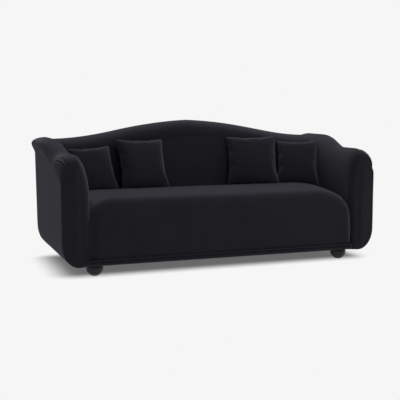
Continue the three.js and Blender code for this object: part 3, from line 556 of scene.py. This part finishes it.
def back_section(x):
    """Depth and height round the back at a place across it."""
    top = float(hump_at(x))
    inside_z = top - INSIDE_DROP
    inside_y = float(inside_back_at(inside_z))
    rear_z = top - ROLL_DROP
    rear_y = float(rear_at(rear_z, top, ROLL_DEEP, ROLL_DROP))
    points = [(INSIDE_FOOT, z) for z in np.linspace(PADDING_Z, KNEE_Z, 8)[:-1]]
    for share in np.linspace(0, 1, 22)[:-1]:
        points.append((mix(INSIDE_FOOT, inside_y, share), mix(KNEE_Z, inside_z, share)))
    for turn in np.linspace(0, math.pi / 2, 18)[:-1]:
        points.append((mix(inside_y, RIDGE_Y, 1 - math.cos(turn)), mix(inside_z, top, math.sin(turn))))
    for turn in np.linspace(0, math.pi / 2, 18):
        points.append((mix(RIDGE_Y, rear_y, math.sin(turn)), mix(top, rear_z, 1 - math.cos(turn))))
    for z in np.linspace(rear_z, PADDING_Z, 16)[1:]:
        points.append((float(rear_at(z, top, ROLL_DEEP, ROLL_DROP)), z))
    foot_y = points[-1][0]
    for share in np.linspace(0, 1, 6)[1:-1]:
        points.append((mix(foot_y, INSIDE_FOOT, share), PADDING_Z))
    return points


def back_shape():
    """Inside back, hump and the roll over it. Its ends run on under the wings' tops."""
    half = INNER_X + RIDGE_IN
    places = np.linspace(-half, half, 132)
    grid = np.array([[(x, y, z) for y, z in back_section(x)] for x in places])
    normal = grid_normals(grid)
    normal *= np.sign(np.sum(normal[..., 2] * (grid[..., 2] - 0.5)))
    swell = BACK_SWELL * grain(grid, 0.25, 11.0) - BACK_SINK
    return grid + normal * (swell * clamp((half - np.abs(grid[..., 0])) / BACK_MARGIN))[..., None]


def add_back(velvet):
    back = tube_body("back_hump", back_shape(), velvet)
    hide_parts("inside_back_cover", "back_padding")
    finish_soft(back)
    panel = tube_body("outside_back", panel_shape(), velvet)
    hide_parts("outside_back_panel")
    finish_soft(panel)


def panel_shape():
    """The outside back: a thin raked skin with its edges turned in along the seams."""
    half = panel_high.x
    edge = np.array(PANEL_EDGE) * MM
    middle = np.linspace(-half + PANEL_MARGIN, half - PANEL_MARGIN, 120)
    places = np.concatenate([-half + edge, middle, half - edge[::-1]])
    shares = np.concatenate([[0, 0.004, 0.01, 0.02], np.linspace(0.03, 0.97, 44), [0.98, 0.99, 0.996, 1]])
    rows = []
    for x in places:
        out = float(clamp((abs(x) - INNER_X) / (half - INNER_X)))
        top = mix(float(hump_at(x)) - ROLL_DROP, WING - WING_REAR_DROP, out) - CLEAR
        corner = float(clamp((abs(x) - OUTER_X + SIDE_CORNER[0]) / SIDE_CORNER[0]))
        low = max(panel_low.z, GROUND_GAP + SIDE_CORNER[1] * float(round_share(corner)) + CLEAR)
        side = min(1.0, (half - abs(x)) / PANEL_TURN_IN)
        outer = []
        inner = []
        for share in shares:
            z = mix(low, top, share)
            turn_in = min(1.0, share / 0.02, (1 - share) / 0.02)
            thick = CLOTH * math.sqrt(max(0.0, 1 - (1 - min(side, turn_in)) ** 2)) * 0.97 + 0.03 * CLOTH
            skin = float(rear_at(z, HUMP, ROLL_DEEP, ROLL_DROP)) + CLEAR
            wave = PANEL_WAVE * (noise.noise(Vector((x * 5, z * 5, 2.0))) - 1) * min(turn_in, side)
            outer.append((x, skin + thick + wave, z))
            inner.append((x, skin, z))
        rows.append(inner + outer[::-1])
    return np.array(rows)


def add_arms(velvet):
    for side, name in ((-1, "left"), (1, "right")):
        arm = tube_body(f"arm_and_wing_{name}", arm_shape(side, 21.0 + side), velvet)
        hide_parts(f"arm_cover_{name}", f"arm_front_cover_{name}", f"arm_padding_{name}")
        finish_soft(arm)


# Throw cushions
CUSHION = 350 * MM
CUSHION_THICK = 122 * MM
CUSHION_DRAW_IN = 17 * MM
CUSHION_EDGE = 6 * MM
CUSHION_FULLNESS = 0.45
CUSHION_CELLS = 34
UNFILLED_SHARE = 0.5                # a cover's thickness before it is filled
FILL_FRAMES = 16
FILL_CLOTH = {
    "quality": 6,
    "mass": 0.15,
    "tension_stiffness": 25,
    "compression_stiffness": 12,
    "shear_stiffness": 6,
    "bending_stiffness": 0.15,
    "air_damping": 3,
    "use_pressure": True,
    "uniform_pressure_force": 4.0,
}
FILL_ACROSS = (0.5, 0.6)            # share of the filling's pull that is kept, at the foot and at the top
FILL_UP = (0.1, 0.5)
FILL_REACH = 26 * MM                # the furthest that filling moves any place of a cover
GATHER_HIGH = 2.2 * MM              # small upright folds where a cushion stands on its lower edge
GATHER_PITCH = 17 * MM
GATHER_AT = 26 * MM                 # height of their middle, and how far they fade out from it
GATHER_FADE = 24 * MM
CREASE_HIGH = 2.4 * MM
CUSHION_SWELL = 2.5 * MM
CUSHION_SETTLE = 34 * MM            # how far a cushion's lower edge is pressed flat by its weight
# Squeeze across and up, then turn, lean and roll in degrees
CUSHIONS = {
    "far_left": (0.86, 0.9, 9, 28, -2),
    "left": (0.93, 1.0, 3, 28, 1),
    "right": (1.0, 1.02, -17, 28, -1),
    "far_right": (0.82, 0.95, -24, 30, 0),
}
# How much wider each visible cover is than the frame's cushion
CUSHION_SPREADS = {"far_left": 1.04, "left": 1.04, "right": 1.04, "far_right": 1.05}


def cushion_turn(wide, tall, turn, lean, roll):
    spin = Matrix.Rotation(math.radians(turn), 4, "Z") @ Matrix.Rotation(math.radians(-lean), 4, "X")
    return spin @ Matrix.Rotation(math.radians(roll), 4, "Y") @ Matrix.Diagonal((wide, 1, tall, 1))


def cushion_grid(lines, thick, draw_in):
    """Front and rear faces of a cushion standing on its lower edge, as two grids of points."""
    half = CUSHION / 2
    across, up = np.meshgrid(lines, lines)
    x = half * across * (1 - draw_in / half * (1 - up * up))
    z = half * up * (1 - draw_in / half * (1 - across * across)) + half
    fill = ((1 - across * across) * (1 - up * up)).clip(0) ** CUSHION_FULLNESS
    y = mix(CUSHION_EDGE / 2, thick / 2, fill)
    return np.stack([x, -y, z], -1), np.stack([x, y, z], -1)


def transformed(points, matrix):
    flat = np.c_[points.reshape(-1, 3), np.ones(points.size // 3)]
    return (flat @ np.array(matrix).T)[:, :3].reshape(points.shape)


def cushion_place(name):
    """The matrix that stands a cushion where the frame has it."""
    matrix = cushion_turn(*CUSHIONS[name])
    lines = np.sin(np.linspace(-0.5, 0.5, 11) * math.pi)
    faces = cushion_grid(lines, CUSHION_THICK, CUSHION_DRAW_IN)
    points = np.concatenate([transformed(face, matrix) for face in faces]).reshape(-1, 3)
    low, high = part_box(f"throw_cushion_{name}")
    middle = (points.min(0) + points.max(0)) / 2
    shift = (np.array(low) + np.array(high)) / 2 - middle
    return Matrix.Translation(Vector(shift)) @ matrix


def pillow_mesh(name, material):
    """Two squares of cloth sewn along their edges, lightly filled, before they are blown up."""
    lines = np.linspace(-1, 1, CUSHION_CELLS + 1)
    front, rear = cushion_grid(lines, UNFILLED_SHARE * CUSHION_THICK, 0.0)
    side = CUSHION_CELLS + 1
    points = np.concatenate([front.reshape(-1, 3), rear.reshape(-1, 3)])
    faces = []
    for row in range(CUSHION_CELLS):
        for column in range(CUSHION_CELLS):
            here = row * side + column
            quad = (here, here + 1, here + side + 1, here + side)
            faces.append(quad)
            faces.append(tuple(corner + side * side for corner in quad[::-1]))
    for step in range(CUSHION_CELLS):
        for a, b in ((step + 1, step), (CUSHION_CELLS * side + step, CUSHION_CELLS * side + step + 1),
                     (step * side, (step + 1) * side),
                     ((step + 1) * side + CUSHION_CELLS, step * side + CUSHION_CELLS)):
            faces.append((a, b, b + side * side, a + side * side))
    return outward(mesh_object(name, points, faces, material))


def blow_up(obj):
    """Fills the sewn cover by cloth simulation and keeps the result, with no place moved too far."""
    start = np.array([v.co for v in obj.data.vertices])
    cloth = obj.modifiers.new("cloth", "CLOTH")
    for setting, value in FILL_CLOTH.items():
        setattr(cloth.settings, setting, value)
    cloth.settings.effector_weights.gravity = 0
    cloth.collision_settings.use_collision = False
    cloth.collision_settings.use_self_collision = False
    cloth.point_cache.frame_end = FILL_FRAMES
    for number in range(1, FILL_FRAMES + 1):
        bpy.context.scene.frame_set(number)
    keep_shape(obj)
    moved = np.array([v.co for v in obj.data.vertices]) - start
    up = np.clip(start[:, 2:] / CUSHION, 0, 1)
    moved[:, 0:1] *= mix(*FILL_ACROSS, up)
    moved[:, 2:] *= mix(*FILL_UP, up)
    length = np.linalg.norm(moved, axis=1, keepdims=True)
    moved *= FILL_REACH * np.tanh(length / FILL_REACH) / np.maximum(length, 1e-9)
    obj.data.vertices.foreach_set("co", (start + moved).ravel())


def keep_shape(obj):
    """Makes what the modifiers show the object's own mesh."""
    graph = bpy.context.evaluated_depsgraph_get()
    shown = bpy.data.meshes.new_from_object(obj.evaluated_get(graph))
    obj.modifiers.clear()
    obj.data = shown


def add_cushions(velvet):
    for number, name in enumerate(CUSHIONS):
        cushion = pillow_mesh(f"throw_pillow_{name}", velvet)
        blow_up(cushion)
        shape_cushion(cushion, name, number)
        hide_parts(f"throw_cushion_{name}")
        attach(cushion, f"cushion_{name}")


def shape_cushion(obj, name, number):
    """Fits the filled cover to its size, stands it in its place and presses it flat where it rests."""
    points = np.array([v.co for v in obj.data.vertices])
    half = CUSHION / 2
    middle = (points.max(0) + points.min(0)) / 2
    reach = (points.max(0) - points.min(0)) / 2
    points = (points - middle) / reach * np.array([half, CUSHION_THICK / 2, half]) + np.array([0, 0, half])
    points[:, 0] *= CUSHION_SPREADS[name]
    points[:, 1] += gathers(points, number)
    points[:, 2] -= CUSHION_SETTLE * clamp(1 - points[:, 2] / (0.6 * CUSHION)) ** 2
    points = transformed(points, cushion_place(name))
    points[:, 2] = np.maximum(points[:, 2], seat_top_at(points[:, 0], points[:, 1]) + 1.5 * CLEAR)
    points[:, 1] = np.minimum(points[:, 1], back_face_at(points[:, 0], points[:, 2]) - 2 * CLEAR)
    obj.data.vertices.foreach_set("co", points.ravel())
    smooth = obj.modifiers.new("smooth", "SUBSURF")
    smooth.levels = smooth.render_levels = 1
    keep_shape(obj)
    obj.data.polygons.foreach_set("use_smooth", [True] * len(obj.data.polygons))


def gathers(points, number):
    """Small folds that stand on the lower edge, and soft creases that run out to the corners."""
    x, z = points[:, 0], points[:, 2]
    face = np.sign(points[:, 1])
    fold = np.cos(x / GATHER_PITCH * 2 * math.pi + 1.2 * np.sin(x * 30 + number * 2.0))
    patchy = clamp(0.5 + 1.4 * grain(points * np.array([1, 0, 0.2]), 0.07, 5.0 + number))
    low = bump(z, GATHER_AT, GATHER_FADE) * patchy
    slant = (np.abs(x) - np.abs(z - CUSHION / 2)) / (CUSHION / 2)
    corner = clamp((np.abs(x) + np.abs(z - CUSHION / 2)) / CUSHION * 2.2 - 1)
    crease = np.cos(slant * 24) * bump(slant, 0, 0.22) * corner
    soft = CUSHION_SWELL * grain(points, 0.11, 31.0 + 4 * number)
    return face * (GATHER_HIGH * fold * low - CREASE_HIGH * crease + soft)


def back_face_at(x, z):
    top = hump_at(x)
    foot_z = top - INSIDE_DROP
    share = clamp((z - foot_z) / INSIDE_DROP)
    return np.where(z <= foot_z, inside_back_at(z), mix(inside_back_at(foot_z), RIDGE_Y, round_share(share)))


# Feet
FOOT_FLAT = 15 * MM                 # radius of the flat that a ball stands on
FOOT_SOLE_SHARE = 0.7               # the flat's own ring, inside its edge
FOOT_TOP_SHARE = 0.6
FOOT_RINGS = 40
FOOT_SIDES = 56


def add_feet(lacquer):
    for end in ("front", "rear"):
        for side in ("left", "right"):
            low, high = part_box(f"{end}_foot_{side}")
            middle = (low + high) / 2
            radius = (high.x - low.x) / 2
            centre_z = math.sqrt(radius ** 2 - FOOT_FLAT ** 2)
            start = -math.acos(FOOT_FLAT / radius)
            finish = math.asin(min(1, (high.z - centre_z) / radius))
            rows = [(FOOT_FLAT * FOOT_SOLE_SHARE, 0.0)]
            for share in np.linspace(0, 1, FOOT_RINGS):
                turn = mix(start, finish, share)
                rows.append((radius * math.cos(turn), max(0.0, centre_z + radius * math.sin(turn))))
            rows.append((rows[-1][0] * FOOT_TOP_SHARE, high.z))
            spin = np.linspace(0, 2 * math.pi, FOOT_SIDES, endpoint=False)
            grid = np.array([[(middle.x + r * math.cos(a), middle.y + r * math.sin(a), z) for a in spin]
                             for r, z in rows])
            foot = tube_body(f"ball_foot_{end}_{side}", grid, lacquer)
            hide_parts(f"{end}_foot_{side}")
            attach(foot, "sofa")


# Materials
class Shader:
    """A material with its nodes, made link by link."""

    def __init__(self, name):
        self.material = bpy.data.materials.new(name)
        self.material.use_nodes = True
        self.nodes = self.material.node_tree.nodes
        self.links = self.material.node_tree.links
        self.body = self.nodes["Principled BSDF"]
        self.place = self.nodes.new("ShaderNodeTexCoord").outputs["Object"]

    def stretched(self, scale):
        node = self.nodes.new("ShaderNodeMapping")
        node.inputs["Scale"].default_value = scale
        self.links.new(self.place, node.inputs["Vector"])
        return node.outputs["Vector"]

    def noise(self, scale, detail=3.0, rough=0.5, vector=None):
        node = self.nodes.new("ShaderNodeTexNoise")
        node.inputs["Scale"].default_value = scale
        node.inputs["Detail"].default_value = detail
        node.inputs["Roughness"].default_value = rough
        self.links.new(vector or self.place, node.inputs["Vector"])
        return node.outputs["Fac"]

    def blend(self, factor, low, high):
        """A colour or a number that runs from low to high with a factor around its middle."""
        node = self.nodes.new("ShaderNodeMapRange")
        node.inputs["From Min"].default_value = 0.3
        node.inputs["From Max"].default_value = 0.7
        self.links.new(factor, node.inputs["Value"])
        if isinstance(low, tuple):
            colour = self.nodes.new("ShaderNodeMix")
            colour.data_type = "RGBA"
            self.links.new(node.outputs["Result"], colour.inputs["Factor"])
            colour.inputs["A"].default_value = (*low, 1)
            colour.inputs["B"].default_value = (*high, 1)
            return colour.outputs["Result"]
        node.inputs["To Min"].default_value = low
        node.inputs["To Max"].default_value = high
        return node.outputs["Result"]

    def add(self, a, b, share=0.5):
        node = self.nodes.new("ShaderNodeMix")
        node.inputs["Factor"].default_value = share
        self.links.new(a, node.inputs["A"])
        self.links.new(b, node.inputs["B"])
        return node.outputs["Result"]

    def bump(self, height, strength, distance):
        node = self.nodes.new("ShaderNodeBump")
        node.inputs["Strength"].default_value = strength
        node.inputs["Distance"].default_value = distance
        self.links.new(height, node.inputs["Height"])
        self.links.new(node.outputs["Normal"], self.body.inputs["Normal"])

    def set(self, **values):
        for name, value in values.items():
            socket = self.body.inputs[name.replace("_", " ")]
            if isinstance(value, bpy.types.NodeSocket):
                self.links.new(value, socket)
            else:
                socket.default_value = value
        return self.material


def velvet_material():
    shade = Shader("black_velvet")
    crush = shade.noise(9.0, 3.0, 0.55, shade.stretched((1.0, 1.0, 0.45)))
    streak = shade.noise(60.0, 4.0, 0.6, shade.stretched((1.0, 1.0, 0.2)))
    nap = shade.noise(1400.0, 2.0)
    tone = shade.add(crush, streak, 0.35)
    shade.bump(shade.add(streak, nap, 0.75), 0.25, 0.0006)
    return shade.set(
        Base_Color=shade.blend(tone, (0.0088, 0.0086, 0.0121), (0.0114, 0.0111, 0.0154)),
        Roughness=shade.blend(tone, 0.62, 0.78),
        Specular_IOR_Level=0.0, Sheen_Weight=0.115, Sheen_Roughness=0.6,
        Sheen_Tint=(0.88, 0.87, 1.0, 1.0))


def lacquer_material():
    shade = Shader("black_lacquer")
    wear = shade.noise(70.0, 4.0)
    shade.bump(shade.noise(240.0, 3.0), 0.08, 0.0004)
    return shade.set(
        Base_Color=shade.blend(wear, (0.008, 0.0078, 0.010), (0.013, 0.0125, 0.016)),
        Roughness=shade.blend(wear, 0.26, 0.36),
        Specular_IOR_Level=0.2, Coat_Weight=0.05, Coat_Roughness=0.2)


def wood_material():
    shade = Shader("sawn_hardwood")
    rings = shade.noise(24.0, 5.0, 0.6, shade.stretched((0.25, 1.0, 3.0)))
    pores = shade.noise(420.0, 3.0, 0.6, shade.stretched((0.2, 1.0, 1.0)))
    shade.bump(pores, 0.4, 0.0008)
    return shade.set(
        Base_Color=shade.blend(shade.add(rings, pores, 0.3), (0.30, 0.18, 0.09), (0.46, 0.30, 0.16)),
        Roughness=shade.blend(pores, 0.55, 0.75))


def steel_material():
    shade = Shader("drawn_steel")
    draw = shade.noise(160.0, 3.0, 0.5, shade.stretched((1.0, 0.1, 1.0)))
    shade.bump(draw, 0.15, 0.0002)
    return shade.set(Base_Color=shade.blend(draw, (0.36, 0.37, 0.39), (0.5, 0.51, 0.53)), Metallic=1.0,
                     Roughness=shade.blend(draw, 0.3, 0.45))


def lining_material():
    shade = Shader("black_lining")
    weave = shade.noise(900.0, 2.0, 0.5, shade.stretched((1.0, 0.3, 1.0)))
    shade.bump(weave, 0.4, 0.0005)
    return shade.set(Base_Color=shade.blend(weave, (0.012, 0.012, 0.013), (0.026, 0.026, 0.029)),
                     Roughness=shade.blend(weave, 0.85, 0.97))


def dress_frame(slots):
    """Gives every node of the frame that stays its own finish."""
    for part in frame["record"]["subparts"]:
        node = frame["nodes"][part["node"]]
        node.data.materials.clear()
        node.data.materials.append(slots[part["material_slot"]])


# The studio
CAMERA_AT = (-1.93117, -5.28278, 1.05478)
CAMERA_TURN = 19.90                 # degrees clockwise from straight ahead
CAMERA_DROP = 6.787                 # degrees below level
CAMERA_LENS = 75.48
CAMERA_SENSOR = 36
CAMERA_REACH = 200
FLOOR_HALF = 60.0
FLOOR_TONE = (0.9, 0.9, 0.9, 1)
BACKDROP = 0.921                    # linear value of the photograph's white
FOOTPRINT = (0.92, 0.275, 0)        # the shadow fades out beyond this half width and half depth
SHADOW_FADE = 0.22
FLOOR_GLOW = 0.14                   # share of the backdrop's white that the floor keeps even in shadow
AMBIENT = 0.2
# Place, aim, width and depth, and power of each lamp
LAMPS = {
    "overhead": ((1.0, -1.6, 4.0), (0, 0, 0.4), (4.5, 3.0), 108),
    "rear": ((1.0, 2.2, 3.4), (0, 0, 0.5), (2.6, 1.4), 90),
}


def add_camera():
    camera = bpy.data.cameras.new("camera")
    camera.lens = CAMERA_LENS
    camera.sensor_width = CAMERA_SENSOR
    camera.clip_end = CAMERA_REACH
    obj = bpy.data.objects.new("camera", camera)
    obj.location = CAMERA_AT
    obj.rotation_euler = (math.radians(90 - CAMERA_DROP), 0, math.radians(-CAMERA_TURN))
    bpy.context.scene.collection.objects.link(obj)
    bpy.context.scene.camera = obj


def add_floor():
    """A pale floor that keeps the sofa's shadow and fades into the backdrop."""
    corners = [(x * FLOOR_HALF, y * FLOOR_HALF, 0) for x, y in ((-1, -1), (1, -1), (1, 1), (-1, 1))]
    floor = mesh_object("floor", corners, [(0, 1, 2, 3)], floor_material())


def floor_material():
    """Matt near the sofa, where it takes the shadow, and glowing as white as the backdrop further out."""
    shade = Shader("studio_floor")
    nodes, links = shade.nodes, shade.links
    body = shade.body
    body.inputs["Base Color"].default_value = FLOOR_TONE
    body.inputs["Roughness"].default_value = 0.9
    body.inputs["Specular IOR Level"].default_value = 0.0
    glow = nodes.new("ShaderNodeEmission")
    glow.inputs["Color"].default_value = (BACKDROP, BACKDROP, BACKDROP, 1)
    place = shade.place
    for operation, value in (("ABSOLUTE", None), ("SUBTRACT", FOOTPRINT),
                             ("MAXIMUM", (0, 0, 0)), ("LENGTH", None)):
        step = nodes.new("ShaderNodeVectorMath")
        step.operation = operation
        links.new(place, step.inputs[0])
        if value:
            step.inputs[1].default_value = value
        place = step.outputs[0]
    fade = nodes.new("ShaderNodeMapRange")
    fade.interpolation_type = "SMOOTHSTEP"
    fade.inputs["To Min"].default_value = FLOOR_GLOW
    fade.inputs["From Max"].default_value = SHADOW_FADE
    links.new(step.outputs["Value"], fade.inputs["Value"])
    mixer = nodes.new("ShaderNodeMixShader")
    links.new(fade.outputs["Result"], mixer.inputs["Fac"])
    links.new(body.outputs["BSDF"], mixer.inputs[1])
    links.new(glow.outputs["Emission"], mixer.inputs[2])
    links.new(mixer.outputs["Shader"], nodes["Material Output"].inputs["Surface"])
    return shade.material


def add_world():
    world = bpy.data.worlds.new("studio")
    bpy.context.scene.world = world
    world.use_nodes = True
    nodes, links = world.node_tree.nodes, world.node_tree.links
    ambient = nodes["Background"]
    ambient.inputs["Color"].default_value = (1, 1, 1, 1)
    ambient.inputs["Strength"].default_value = AMBIENT
    seen = nodes.new("ShaderNodeBackground")
    seen.inputs["Color"].default_value = (BACKDROP, BACKDROP, BACKDROP, 1)
    path = nodes.new("ShaderNodeLightPath")
    mixer = nodes.new("ShaderNodeMixShader")
    links.new(path.outputs["Is Camera Ray"], mixer.inputs["Fac"])
    links.new(ambient.outputs["Background"], mixer.inputs[1])
    links.new(seen.outputs["Background"], mixer.inputs[2])
    links.new(mixer.outputs["Shader"], nodes["World Output"].inputs["Surface"])


def add_lamp(name, place, aim, size, power):
    lamp = bpy.data.lights.new(name, "AREA")
    lamp.shape = "RECTANGLE"
    lamp.size, lamp.size_y = size
    lamp.energy = power
    obj = bpy.data.objects.new(name, lamp)
    obj.location = place
    obj.rotation_euler = (Vector(aim) - Vector(place)).to_track_quat("-Z", "Y").to_euler()
    bpy.context.scene.collection.objects.link(obj)


def main():
    bpy.context.scene.view_settings.view_transform = "Standard"
    add_camera()
    slots = {"velvet": velvet_material(), "lacquer": lacquer_material(), "hardwood": wood_material(),
             "steel": steel_material(), "lining": lining_material(), "foam": lining_material()}
    dress_frame(slots)
    add_arms(slots["velvet"])
    add_back(slots["velvet"])
    add_seat(slots["velvet"])
    add_cushions(slots["velvet"])
    add_feet(slots["lacquer"])
    add_floor()
    add_world()
    for name, lamp in LAMPS.items():
        add_lamp(name, *lamp)


main()
